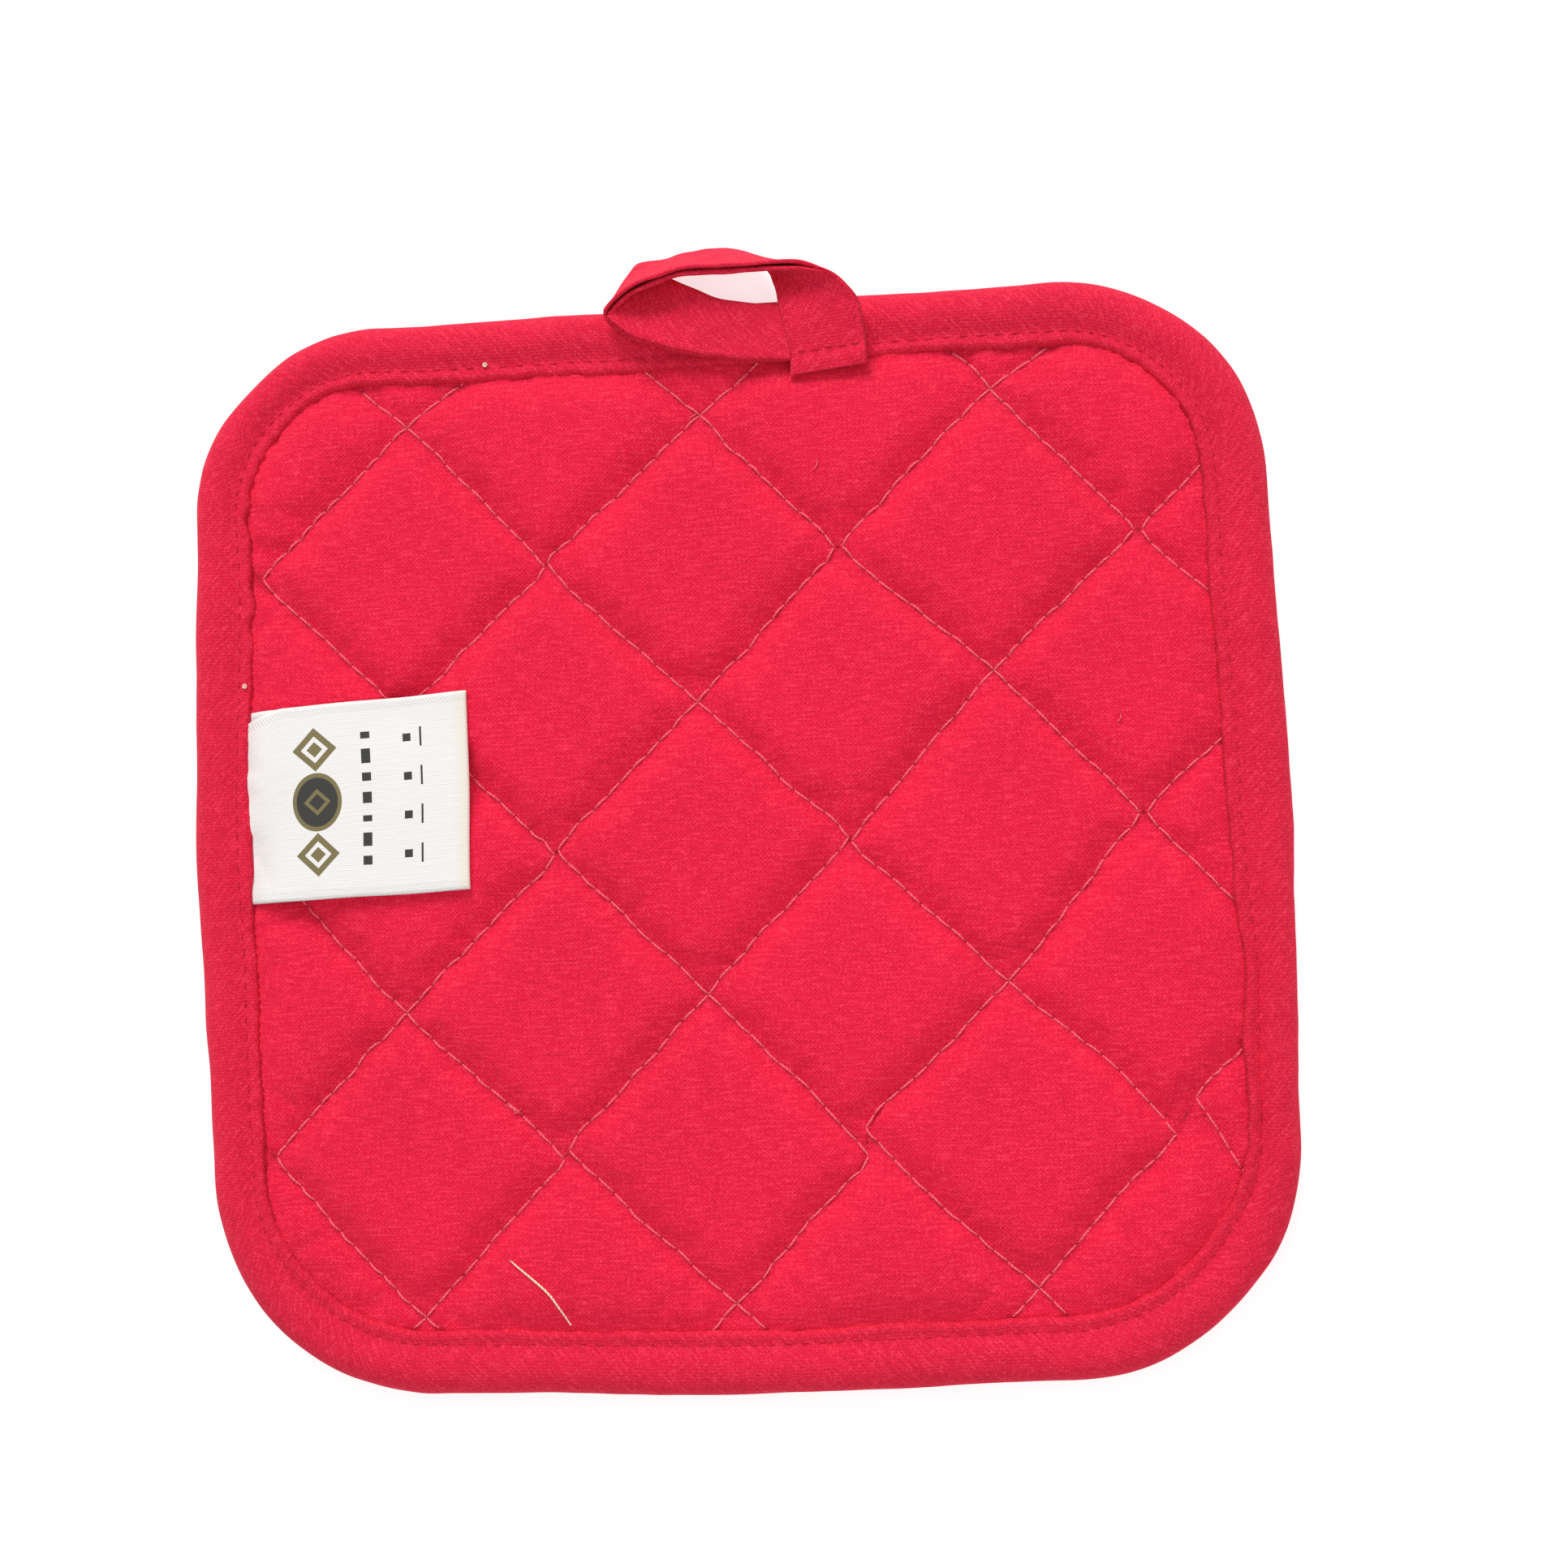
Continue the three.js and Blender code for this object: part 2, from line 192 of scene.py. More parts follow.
def tubes(name, paths, radius, sides=7):
    """One object of closed round threads, each along its own path, thinner at its ends."""
    points, faces, uv = [], [], []
    ring = np.arange(sides) * 2 * math.pi / sides
    for path in paths:
        path = np.asarray(path, float)
        first = len(points)
        along = np.gradient(path, axis=0)
        along /= np.linalg.norm(along, axis=1, keepdims=True)
        across = np.cross(along, [0, 0, 1])
        across /= np.maximum(np.linalg.norm(across, axis=1, keepdims=True), 1e-6)
        up = np.cross(across, along)
        run = run_along(path)
        share = run / run[-1]
        size = radius * (0.55 + 0.45 * np.sin(math.pi * np.clip(share, 0.02, 0.98)) ** 0.5)
        for k in range(len(path)):
            for angle in ring:
                out = across[k] * math.cos(angle) + up[k] * math.sin(angle)
                points.append(path[k] + out * size[k])
                uv.append((run[k], angle))
        body = grid_faces(len(path), sides, wrap_columns=True) + first
        faces += [list(f) for f in body]
        faces.append([first + k for k in range(sides)])
        last = first + (len(path) - 1) * sides
        faces.append([last + k for k in range(sides)][::-1])
    return make_mesh(name, points, faces, uv)


# ==== the outline

def rim(count):
    """Points evenly spaced round the outline, and the way out at each."""
    path = []
    for k, (x, y, radius, bow) in enumerate(CORNERS):
        heart = np.array([x * (HALF_WIDTH - radius), y * (HALF_HEIGHT - radius)])
        nx, ny, next_radius, _ = CORNERS[(k + 1) % 4]
        next_heart = np.array([nx * (HALF_WIDTH - next_radius), ny * (HALF_HEIGHT - next_radius)])
        for angle in np.linspace(0, math.pi / 2, 60, endpoint=False) + k * math.pi / 2:
            path.append(heart + radius * np.array([math.cos(angle), math.sin(angle)]))
        angle = (k + 1) * math.pi / 2
        out = np.array([math.cos(angle), math.sin(angle)])
        for t in np.linspace(0, 1, 80, endpoint=False):
            middle = heart + (next_heart - heart) * t
            reach = radius + (next_radius - radius) * t
            path.append(middle + out * (reach + bow * math.sin(math.pi * t) ** 2))
    path = np.array(path)
    ring = np.vstack([path, path[:1]])
    along = run_along(ring)
    at = np.linspace(0, along[-1], count, endpoint=False)
    points = np.stack([np.interp(at, along, ring[:, k]) for k in range(2)], axis=1)
    tangent = np.roll(points, -2, axis=0) - np.roll(points, 2, axis=0)
    tangent /= np.linalg.norm(tangent, axis=1, keepdims=True)
    return points, np.stack([tangent[:, 1], -tangent[:, 0]], axis=1), at, along[-1]


RIM_POINTS, RIM_OUT, _, RIM_LENGTH = rim(720)


def inset_of(xy):
    """How far inside the outline each point lies."""
    xy = np.asarray(xy, float)
    best = np.full(len(xy), np.inf)
    index = np.zeros(len(xy), int)
    for k in range(0, len(RIM_POINTS), 2):
        far = ((xy - RIM_POINTS[k]) ** 2).sum(1)
        nearer = far < best
        best[nearer] = far[nearer]
        index[nearer] = k
    return ((RIM_POINTS[index] - xy) * RIM_OUT[index]).sum(1)


# Where the tape was caught narrower on the front: centre, reach across and along, change of inset
LIP_DRIFTS = [((93, -42), (12, 30), -3.0), ((-95, 12), (12, 34), -0.9), ((-92, -48), (14, 26), -1.4),
              ((-80, 78), (26, 26), -1.0)]


def lip_drift(xy):
    """How far the front lip and its seam lie from their usual inset."""
    xy = np.asarray(xy, float)
    shift = np.zeros(len(xy))
    for centre, reach, change in LIP_DRIFTS:
        away = (xy - centre) / reach
        shift += change * np.exp(-(away**4).sum(1))
    return shift


# ==== the lattice of quilting

# Where the sewing wandered from an even lattice: centre, shift, reach
DRIFTS = [
    ((-57, 75), (1.5, 0.3), 26), ((-5, 75), (2.0, -1.3), 26), ((46, 75), (1.4, 0.6), 26),
    ((46, 25), (0.4, 2.0), 24), ((-57, -26), (-1.7, -1.2), 26), ((-57, -77), (-0.2, -3.2), 26),
    ((-5, -77), (3.0, -2.4), 28), ((46, -77), (2.5, -1.0), 28), ((72, -52), (2.9, 1.9), 22),
    ((72, -1), (-1.6, 2.6), 22), ((6, 82), (3.6, 0.2), 9), ((56, 83), (4.2, -0.4), 8),
    ((43, 83), (1.8, 0.0), 7), ((-46, 83), (4.0, -0.4), 8),
]
# Where the turns of two neighbouring rows missed each other: meeting point, half the miss
MISSES = [((20.4, -52), (-0.9, 2.45)), ((71.9, -52), (1.1, 3.1)), ((-31, -1), (-0.4, 0.5)),
          ((20.4, -1), (-0.5, -0.4)), ((-31, -52), (-0.3, 0.7)), ((-31, 50), (-0.4, 0.3))]


def drift(xy, band_x=None):
    """Where the points of the even lattice really came to lie. A row of sewing is given the middle
    of its band, so that it keeps to its own side of each miss."""
    moved = xy.copy()
    for centre, shift, reach in DRIFTS:
        weight = bump(np.linalg.norm(xy - centre, axis=1), reach)
        moved += weight[:, None] * np.array(shift)
    for centre, miss in MISSES:
        gap = xy - centre
        side = np.tanh(gap[:, 0] / 2.2) if band_x is None else np.sign(band_x - centre[0])
        weight = side * bump(np.linalg.norm(gap, axis=1), 11)
        moved += weight[:, None] * np.array(miss)
    for k in (0, 1):
        moved[:, k] += 0.35 * ripple(xy, 60, 5 + k) + 0.25 * ripple(xy, 9, 7 + k)
    return moved


def lattice_to_xy(uv, band=None):
    x = CROSSING[0] + BAND * (uv[:, 0] + uv[:, 1]) / 2
    y = CROSSING[1] + RISE * (uv[:, 0] - uv[:, 1]) / 2
    return drift(np.stack([x, y], axis=1), None if band is None else CROSSING[0] + BAND * band)


def seat(inset):
    """Height of the front surface where nothing swells it."""
    return RIM + (VALLEY - RIM) * smooth((inset - RIM_INSET) / (SWELL_INSET - RIM_INSET))


def quilt_height(uv, inset):
    """Height of the front surface of a quilt, before the cloth is simulated."""
    near_row = 1 - 2 * np.abs(uv - np.round(uv))  # 1 on a row, 0 half way between rows
    puff = np.prod(1 - near_row**3.2, axis=1) ** 0.75
    room = smooth((inset - RIM_INSET + 1.5) / 13)
    return seat(inset) + (LOFT - VALLEY) * puff * (0.25 + 0.75 * room) * (inset > RIM_INSET - 1.5)


# ==== cloth

def cover_grid():
    """The cover's mesh, whose lines follow the quilting: lattice places, points and faces."""
    a, b = (np.arange(low * CELL, high * CELL + 1) for low, high in (LATTICE_U, LATTICE_V))
    u, v = np.meshgrid(a, b, indexing="ij")
    uv = np.stack([u.ravel(), v.ravel()], axis=1) / CELL
    xy = lattice_to_xy(uv)
    inset = inset_of(xy)
    faces = grid_faces(len(a), len(b))
    faces = faces[(inset[faces] > COVER_INSET).all(axis=1)]
    used, faces = np.unique(faces, return_inverse=True)
    faces = faces.reshape(-1, 4)
    return uv[used], xy[used], inset[used], faces


def stitch_state(uv):
    """Which points lie on a row of quilting, and which of those are needle holes."""
    steps = np.round(uv * CELL).astype(int)
    on_u, on_v = steps[:, 0] % CELL == 0, steps[:, 1] % CELL == 0
    on_line = on_u | on_v
    hole = (on_u & (steps[:, 1] % STITCH_STEPS == 0)) | (on_v & (steps[:, 0] % STITCH_STEPS == 0))
    return on_line, hole


SIM_SCALE = 10.0  # the cloth is simulated ten times larger, where the solver is at home
SIM_FRAMES = 14
CLOTH_SETTINGS = {
    "vertex_group_mass": "held", "quality": 6, "mass": 0.2, "air_damping": 4,
    "tension_stiffness": 12, "compression_stiffness": 10, "shear_stiffness": 4,
    "bending_stiffness": 0.15, "tension_damping": 8, "compression_damping": 8,
    "shear_damping": 8, "shrink_min": -0.02,
}
BATTING_PUSH = 9  # an upward pull on the cloth that stands for the push of the batting


def simulate_cover(name, points, faces, held, seed):
    """Cloth held along its seams and pushed up from below."""
    start = points.copy()
    start[:, 2] += np.where(held, 0, 0.12 * ripple(points[:, :2], 7, seed))
    sheet = make_mesh(name + "_sim", start * SIM_SCALE, faces)
    group = sheet.vertex_groups.new(name="held")
    group.add(np.flatnonzero(held).tolist(), 1.0, "REPLACE")
    cloth = sheet.modifiers.new("cloth", "CLOTH")
    for key, value in CLOTH_SETTINGS.items():
        setattr(cloth.settings, key, value)
    cloth.collision_settings.use_collision = False
    scene = bpy.context.scene
    scene.gravity = (0, 0, BATTING_PUSH)
    cloth.point_cache.frame_start = 1
    cloth.point_cache.frame_end = SIM_FRAMES
    for at in range(1, SIM_FRAMES + 1):
        scene.frame_set(at)
    graph = bpy.context.evaluated_depsgraph_get()
    result = points_of(sheet.evaluated_get(graph)) / SIM_SCALE
    scene.gravity = (0, 0, -9.81)
    scene.frame_set(1)
    bpy.data.objects.remove(sheet)
    return result


def soft_top(z, crown):
    """Heights that level off at the crown, as cloth does on batting."""
    over = z - (crown - 1.0)
    return np.where(over > 0, crown - 1.0 + np.tanh(over), z)


def cover_points(uv, xy, inset, faces, seed):
    """The outer surface of a cover, with its seams drawn down and its fields puffed up."""
    on_line, hole = stitch_state(uv)
    z = quilt_height(uv, inset)
    under_tape = inset < RIM_INSET - 0.8
    held = on_line | under_tape
    dip = np.where(hole, 0.32, 0.1) * smooth((inset - 7) / 3)
    z = np.where(on_line, seat(inset) - dip, z)
    z = np.where(under_tape, np.minimum(z, RIM - 0.1), z)
    points = np.column_stack([xy, z])
    made = simulate_cover(f"cover_{seed}", points, faces, held, seed)
    made[:, :2] = xy + np.clip(made[:, :2] - xy, -1.5, 1.5)
    points = made
    points[:, 2] = soft_top(points[:, 2], LOFT + 0.15)
    return points


# Creases pressed into the front: two ends, depth, half width
CREASES = [
    ((67.0, -62.0), (65.2, -86.0), 0.45, 0.9), ((70.5, -48.6), (78.0, -47.4), 0.6, 0.9),
    ((75.0, -44.5), (77.0, -46.0), 0.5, 0.8), ((43.8, 85.0), (43.2, 78.5), 0.6, 1.2),
    ((50.8, 85.0), (50.4, 79.5), 0.5, 1.1), ((57.5, 84.5), (59.5, 79.0), 0.4, 1.2),
    ((-83.0, 56.0), (-77.0, 54.0), 0.5, 1.1), ((-83.0, 47.0), (-78.0, 48.5), 0.4, 1.0),
    ((-81.5, -58.0), (-73.0, -52.0), 0.35, 1.6), ((-60.0, 83.0), (-57.0, 77.5), 0.3, 1.3),
]


def crease(points):
    """Presses the creases into the front cover."""
    for start, end, depth, width in CREASES:
        start, way = np.array(start), np.subtract(end, start)
        from_start = points[:, :2] - start
        share = np.clip(from_start @ way / (way @ way), 0, 1)
        away = np.linalg.norm(from_start - share[:, None] * way, axis=1)
        points[:, 2] -= depth * bump(away, width) * (1 - 0.4 * np.abs(2 * share - 1))
    return points


def thick_sheet(name, points, faces, thickness, uv):
    """A closed sheet of cloth from its outer surface."""
    piece = make_mesh(name, points, faces, uv)
    shell = piece.modifiers.new("thickness", "SOLIDIFY")
    shell.thickness = thickness * MM
    shell.offset = -1
    shell.use_even_offset = False
    graph = bpy.context.evaluated_depsgraph_get()
    mesh = bpy.data.meshes.new_from_object(piece.evaluated_get(graph), depsgraph=graph)
    piece.modifiers.clear()
    piece.data = mesh
    return piece


# ==== materials

class Nodes:
    """Shorthand for building a node tree."""

    def __init__(self, name):
        self.material = bpy.data.materials.new(name)
        self.material.use_nodes = True
        self.tree = self.material.node_tree
        self.shader = self.tree.nodes["Principled BSDF"]

    def node(self, kind, **values):
        made = self.tree.nodes.new(kind)
        for key, value in values.items():
            setattr(made, key, value)
        return made

    def plug(self, value, socket):
        if isinstance(value, bpy.types.NodeSocket):
            self.tree.links.new(value, socket)
        else:
            socket.default_value = value

    def math(self, operation, *values):
        made = self.node("ShaderNodeMath", operation=operation)
        for value, socket in zip(values, made.inputs):
            self.plug(value, socket)
        return made.outputs[0]

    def times(self, a, b):
        return self.math("MULTIPLY", a, b)

    def plus(self, a, b):
        return self.math("ADD", a, b)

    def apart(self, a, b):
        return self.math("ABSOLUTE", self.math("SUBTRACT", a, b))

    def hypot(self, a, b):
        return self.math("SQRT", self.plus(self.math("POWER", a, 2.0), self.math("POWER", b, 2.0)))

    def cloth_place(self):
        """The place on the flat cloth, from the mesh's uv map."""
        return self.separate(self.node("ShaderNodeUVMap", uv_map="cloth").outputs[0])

    def place(self):
        return self.node("ShaderNodeTexCoord").outputs["Object"]

    def lit(self, colour, light):
        """A colour made lighter or darker."""
        made = self.node("ShaderNodeVectorMath", operation="SCALE")
        made.inputs[0].default_value = colour[:3]
        self.plug(light, made.inputs["Scale"])
        return made.outputs[0]

    def noise(self, vector, scale, detail=2.0, roughness=0.5):
        made = self.node("ShaderNodeTexNoise")
        self.plug(vector, made.inputs["Vector"])
        self.plug(scale, made.inputs["Scale"])
        self.plug(detail, made.inputs["Detail"])
        self.plug(roughness, made.inputs["Roughness"])
        return made.outputs["Fac"]

    def combine(self, x, y):
        made = self.node("ShaderNodeCombineXYZ")
        self.plug(x, made.inputs[0])
        self.plug(y, made.inputs[1])
        return made.outputs[0]

    def separate(self, vector):
        made = self.node("ShaderNodeSeparateXYZ")
        self.plug(vector, made.inputs[0])
        return made.outputs[0], made.outputs[1]

    def spread(self, value, low, high, to_low, to_high):
        made = self.node("ShaderNodeMapRange")
        for item, socket in zip((value, low, high, to_low, to_high), made.inputs):
            self.plug(item, socket)
        return made.outputs[0]

    def mix(self, share, first, second):
        made = self.node("ShaderNodeMix", data_type="RGBA")
        self.plug(share, made.inputs["Factor"])
        self.plug(first, made.inputs["A"])
        self.plug(second, made.inputs["B"])
        return made.outputs["Result"]

    def bump(self, height, distance, strength=1.0):
        made = self.node("ShaderNodeBump")
        self.plug(strength, made.inputs["Strength"])
        self.plug(distance, made.inputs["Distance"])
        self.plug(height, made.inputs["Height"])
        self.plug(made.outputs[0], self.shader.inputs["Normal"])

    def finish(self, colour, roughness, sheen=0.0, specular=0.1):
        self.plug(colour, self.shader.inputs["Base Color"])
        self.shader.inputs["Roughness"].default_value = roughness
        self.shader.inputs["Sheen Weight"].default_value = sheen
        self.shader.inputs["Sheen Roughness"].default_value = 0.6
        self.shader.inputs["Specular IOR Level"].default_value = specular
        return self.material


def linear(red, green, blue):
    """A linear colour from sRGB bytes."""
    def one(c):
        c /= 255
        return c / 12.92 if c <= 0.04045 else ((c + 0.055) / 1.055) ** 2.4
    return (one(red), one(green), one(blue), 1.0)


WEAVE_PITCH = 0.38


def streaks(n, x, y, along, across, detail=2.0):
    """Noise drawn out along the threads of a weave."""
    return n.noise(n.combine(n.times(x, along), n.times(y, across)), 1.0, detail)


def weave(n, x, y):
    """Height and slubs of a plain weave, from coordinates in millimetres."""
    wander_x, wander_y = streaks(n, x, y, 0.05, 0.6), streaks(n, x, y, 0.6, 0.05)
    x = n.plus(x, n.times(wander_y, 0.5))
    y = n.plus(y, n.times(wander_x, 0.5))
    turn = math.pi / WEAVE_PITCH
    sx = n.math("SINE", n.times(x, turn))
    sy = n.math("SINE", n.times(y, turn))
    over = n.times(sx, sy)
    threads = n.plus(n.math("ABSOLUTE", sx), n.math("ABSOLUTE", sy))
    height = n.plus(n.times(over, 0.5), n.times(threads, 0.35))
    slub_x, slub_y = streaks(n, x, y, 0.3, 2.4, 3.0), streaks(n, x, y, 2.4, 0.3, 3.0)
    slubs = n.plus(n.times(slub_x, 0.7), n.times(slub_y, 0.3))
    return height, slubs


def cotton(name, base, turn=0.0, on_tape=False, quilted=False):
    """Matt plain-weave cotton. turn is the angle of its threads."""
    n = Nodes(name)
    place = n.place()
    if on_tape:
        x, y = n.cloth_place()
    else:
        x, y = (n.times(value, 1 / MM) for value in n.separate(place))
    if turn:
        c, s = math.cos(turn), math.sin(turn)
        x, y = (n.plus(n.times(x, c), n.times(y, s)),
                n.math("SUBTRACT", n.times(y, c), n.times(x, s)))
    height, slubs = weave(n, x, y)
    patches = n.noise(place, 45.0, 3.0)
    fine = n.noise(place, 2600.0)
    light = n.spread(height, -0.2, 1.1, 0.80, 1.10)
    light = n.times(light, n.spread(slubs, 0.36, 0.66, 0.87, 1.11))
    light = n.times(light, n.spread(patches, 0.3, 0.7, 0.96, 1.04))
    light = n.times(light, n.spread(fine, 0.3, 0.7, 0.89, 1.10))
    if quilted:
        # painted shade at the needle holes and along each row of quilting
        light = n.times(light, needle_hole_shade(n))
    # pale fibre ends catch the light on the thickest threads
    pale = n.plus(n.spread(slubs, 0.52, 0.70, 0.0, 0.16), n.spread(fine, 0.54, 0.74, 0.0, 0.22))
    tinted = n.mix(pale, n.lit(base, light), linear(255, 112, 132))
    relief = n.plus(height, n.times(slubs, 1.2))
    n.bump(n.plus(relief, n.times(fine, 0.5)), 0.10 * MM, 0.8)
    return n.finish(tinted, 0.88, sheen=0.03)


def needle_hole_shade(n):
    """Painted shade: dark at the needle holes and a little along each row, from the lattice places."""
    u, v = n.cloth_place()

    def off_nearest(value, pitch):
        return n.times(n.apart(value, n.math("ROUND", value)), pitch)

    dark = 1.0
    for across, along in ((u, v), (v, u)):
        off_row = off_nearest(across, SIDE)
        off_hole = off_nearest(n.times(along, float(STITCHES)), SIDE / STITCHES)
        hole = n.spread(n.hypot(off_row, off_hole), 0.1, 0.42, 0.66, 1.0)
        row = n.spread(off_row, 0.1, 1.3, 0.86, 1.0)
        dark = n.times(n.times(hole, row), dark)
    return dark


def sewing_thread(name, base, sheen=0.06):
    """Two-ply spun thread: the plies wind round it."""
    n = Nodes(name)
    run, angle = n.cloth_place()
    wind = n.math("SINE", n.plus(n.times(run, 2 * math.pi / 0.75), n.times(angle, 2.0)))
    fuzz = n.noise(n.place(), 3500.0)
    light = n.times(n.spread(wind, -1.0, 1.0, 0.78, 1.12), n.spread(fuzz, 0.3, 0.7, 0.88, 1.1))
    n.bump(n.plus(wind, fuzz), 0.05 * MM, 0.8)
    return n.finish(n.lit(base, light), 0.7, sheen=sheen)


def fibre_fill():
    n = Nodes("batting_fibre")
    fuzz = n.noise(n.place(), 900.0, 5.0, 0.7)
    tone = n.mix(fuzz, linear(214, 206, 190), linear(250, 247, 240))
    n.bump(fuzz, 0.4 * MM)
    return n.finish(tone, 0.95, sheen=0.3)


def satin_ribbon():
    """White woven satin: fine ribs across, a woven selvedge, painted warm shade along its fold and a plain
    printed pattern.
    """
    n = Nodes("label_satin")
    along, across = n.cloth_place()
    ribs = n.math("SINE", n.times(across, 2 * math.pi / 0.42))
    slub = streaks(n, along, across, 0.2, 3.0)
    edge = n.math("ABSOLUTE", across)
    outer_part = n.math("GREATER_THAN", edge, LABEL_WIDTH / 2 - 1.7)
    selvedge = n.times(outer_part, n.math("LESS_THAN", edge, LABEL_WIDTH / 2 - 0.5))
    slant = n.plus(n.times(along, 2 * math.pi / 0.6), n.times(across, 2 * math.pi / 0.9))
    cord = n.times(selvedge, n.math("SINE", slant))
    height = n.plus(n.times(ribs, 0.25), n.plus(cord, slub))
    tone = n.times(n.spread(slub, 0.3, 0.7, 0.96, 1.02), n.spread(cord, -1.0, 0.2, 0.93, 1.0))
    # painted shade: a warm cream tint within about 2 mm of the fold
    painted_fold_shade = n.spread(n.apart(along, LABEL_REACH), 0.3, 2.2, 0.5, 0.0)
    warm = n.mix(painted_fold_shade, n.lit(linear(240, 237, 234), tone), linear(236, 222, 200))
    inked = printed(n, along, across, warm)
    n.bump(height, 0.05 * MM, 0.7)
    return n.finish(inked, 0.42, sheen=0.1, specular=0.3)


def box_mask(n, x, y, centre, half):
    """1 inside a rectangle."""
    inside = (n.math("LESS_THAN", n.apart(value, centre[k]), half[k]) for k, value in enumerate((x, y)))
    return n.times(*inside)


def diamond_mask(n, x, y, centre, outer, inner):
    """1 between two diamonds about one centre."""
    far = n.plus(n.apart(x, centre[0]), n.apart(y, centre[1]))
    return n.times(n.math("LESS_THAN", far, outer), n.math("GREATER_THAN", far, inner))


def printed(n, along, across, cloth):
    """A generic print: a disc between diamonds, a row of dashes, and four squares with ticks."""
    olive_ink = linear(126, 114, 76)
    column = 13.5

    def over(ink, mask):
        return n.math("MAXIMUM", ink, mask)

    far = n.hypot(n.apart(along, column), n.times(across, 0.84))
    olive = n.math("LESS_THAN", far, 4.4)
    dark = n.math("LESS_THAN", far, 3.7)
    for middle in (-9.4, 9.4):
        for outer, inner in ((3.9, 2.4), (1.4, -1.0)):
            olive = over(olive, diamond_mask(n, along, across, (column, middle), outer, inner))
    for k, length in enumerate((1.6, 2.4, 1.1, 2.0, 1.5, 2.6, 1.2)):
        dash = box_mask(n, along, across, (22.4, -11.0 + 3.7 * k), (0.8, length / 2))
        dark = over(dark, dash)
    for k in range(4):
        middle = -10.2 + 6.8 * k
        for at, half in ((29.6, (0.7, 0.7)), (32.0, (0.18, 1.7))):
            dark = over(dark, box_mask(n, along, across, (at, middle), half))
    inked = n.mix(dark, n.mix(olive, cloth, olive_ink), linear(58, 57, 54))
    heart = diamond_mask(n, along, across, (column, 0.0), 2.4, 1.5)
    return n.mix(heart, inked, olive_ink)


PANEL_RED = linear(240, 30, 67)
TAPE_RED = linear(229, 31, 65)
panel_cotton = cotton("panel_cotton", PANEL_RED, quilted=True)
tape_cotton = cotton("tape_cotton", TAPE_RED, turn=math.pi / 4, on_tape=True)
quilting_cotton = sewing_thread("quilting_thread", linear(253, 104, 122))
seam_cotton = sewing_thread("seam_thread", linear(214, 34, 62), sheen=0.02)
pale_cotton = sewing_thread("pale_thread", linear(248, 225, 196))


def dress(piece, material, slot, *nodes, body="root"):
    """Gives a finished piece its material, the nodes it stands for and its body. Its slot is not used."""
    piece.data.materials.clear()
    piece.data.materials.append(material)
    if nodes:
        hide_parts(*nodes)
    if body:
        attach(piece, body)
    return piece


# ==== covers and batting

uv, xy, inset, faces = cover_grid()
front = crease(cover_points(uv, xy, inset - lip_drift(xy), faces, 1))
back = cover_points(uv, xy, inset, faces, 2)
back_flat = np.maximum(LOFT - back[:, 2], 0.0)
back = np.column_stack([back[:, :2], back_flat])

front_cover = thick_sheet("quilted_front_cover", front, faces, COVER_THICKNESS, uv)
back_cover = thick_sheet("quilted_back_cover", back, faces[:, ::-1], COVER_THICKNESS, uv)
dress(front_cover, panel_cotton, "quilted_cotton", "front_cover")
dress(back_cover, panel_cotton, "quilted_cotton", "back_cover")


def batting_piece():
    """The fibre between the covers, on a coarser mesh of one step to a stitch."""
    step = STITCH_STEPS
    steps = np.round(uv * CELL).astype(int)
    order = {tuple(s): k for k, s in enumerate(steps)}
    coarse = [k for k, s in enumerate(steps) if not any(s % step) and inset[k] > BATTING_INSET]
    number = {k: i for i, k in enumerate(coarse)}
    quads = []
    for k in coarse:
        a, b = steps[k]
        ring = [order.get((a + da, b + db)) for da, db in ((0, 0), (0, step), (step, step), (step, 0))]
        if all(r in number for r in ring):
            quads.append([number[r] for r in ring])
    used = sorted({k for quad in quads for k in quad})
    fresh = {k: i for i, k in enumerate(used)}
    top = np.array([front[coarse[k]] for k in used])
    low = np.array([back[coarse[k]] for k in used])
    gap = np.minimum(1.1, (top[:, 2] - low[:, 2]) * 0.3)
    top[:, 2] -= gap
    low[:, 2] += gap
    count = len(used)
    upper = [[fresh[k] for k in quad] for quad in quads]
    edges = {}
    for quad in upper:
        for i in range(4):
            edges[(quad[i], quad[(i + 1) % 4])] = True
    rim_edges = [(a, b) for a, b in edges if (b, a) not in edges]
    sides = [[b, a, a + count, b + count] for a, b in rim_edges]
    lower = [[k + count for k in quad[::-1]] for quad in upper]
    return make_mesh("batting_layer", np.vstack([top, low]), upper + lower + sides)


batting = batting_piece()
dress(batting, fibre_fill(), "batting", "batting")


# ==== quilting threads

front_tree = BVHTree.FromPolygons([Vector(p) for p in front], faces.tolist())
back_tree = BVHTree.FromPolygons([Vector(p) for p in back], faces.tolist())


def surface(x, y, on_front=True):
    """Height of a cover's outer surface, or None off its edge."""
    return height_on(front_tree, x, y) if on_front else height_on(back_tree, x, y, 1)


QUILT_END_INSET = 9.4
SHORTEST_ROW = 9  # needle holes


def zigzag(band, row):
    """Lattice places of a row's needle holes, from top to bottom."""
    holes = []
    for turn in range(4):
        left_to_right = (turn + band + row + 1) % 2
        k0 = 2 * band + (-1 if left_to_right else 1)  # twice the lattice x of the leg's start
        dk = 1 if left_to_right else -1
        top = 0.5 - turn  # in diamonds above the first crossing
        for s in range(2 * STITCHES + (turn == 3)):
            t = s / STITCHES
            x, y = k0 / 2 + dk * t / 2, top - t / 2
            holes.append((x + y, x - y))
    return np.array(holes)


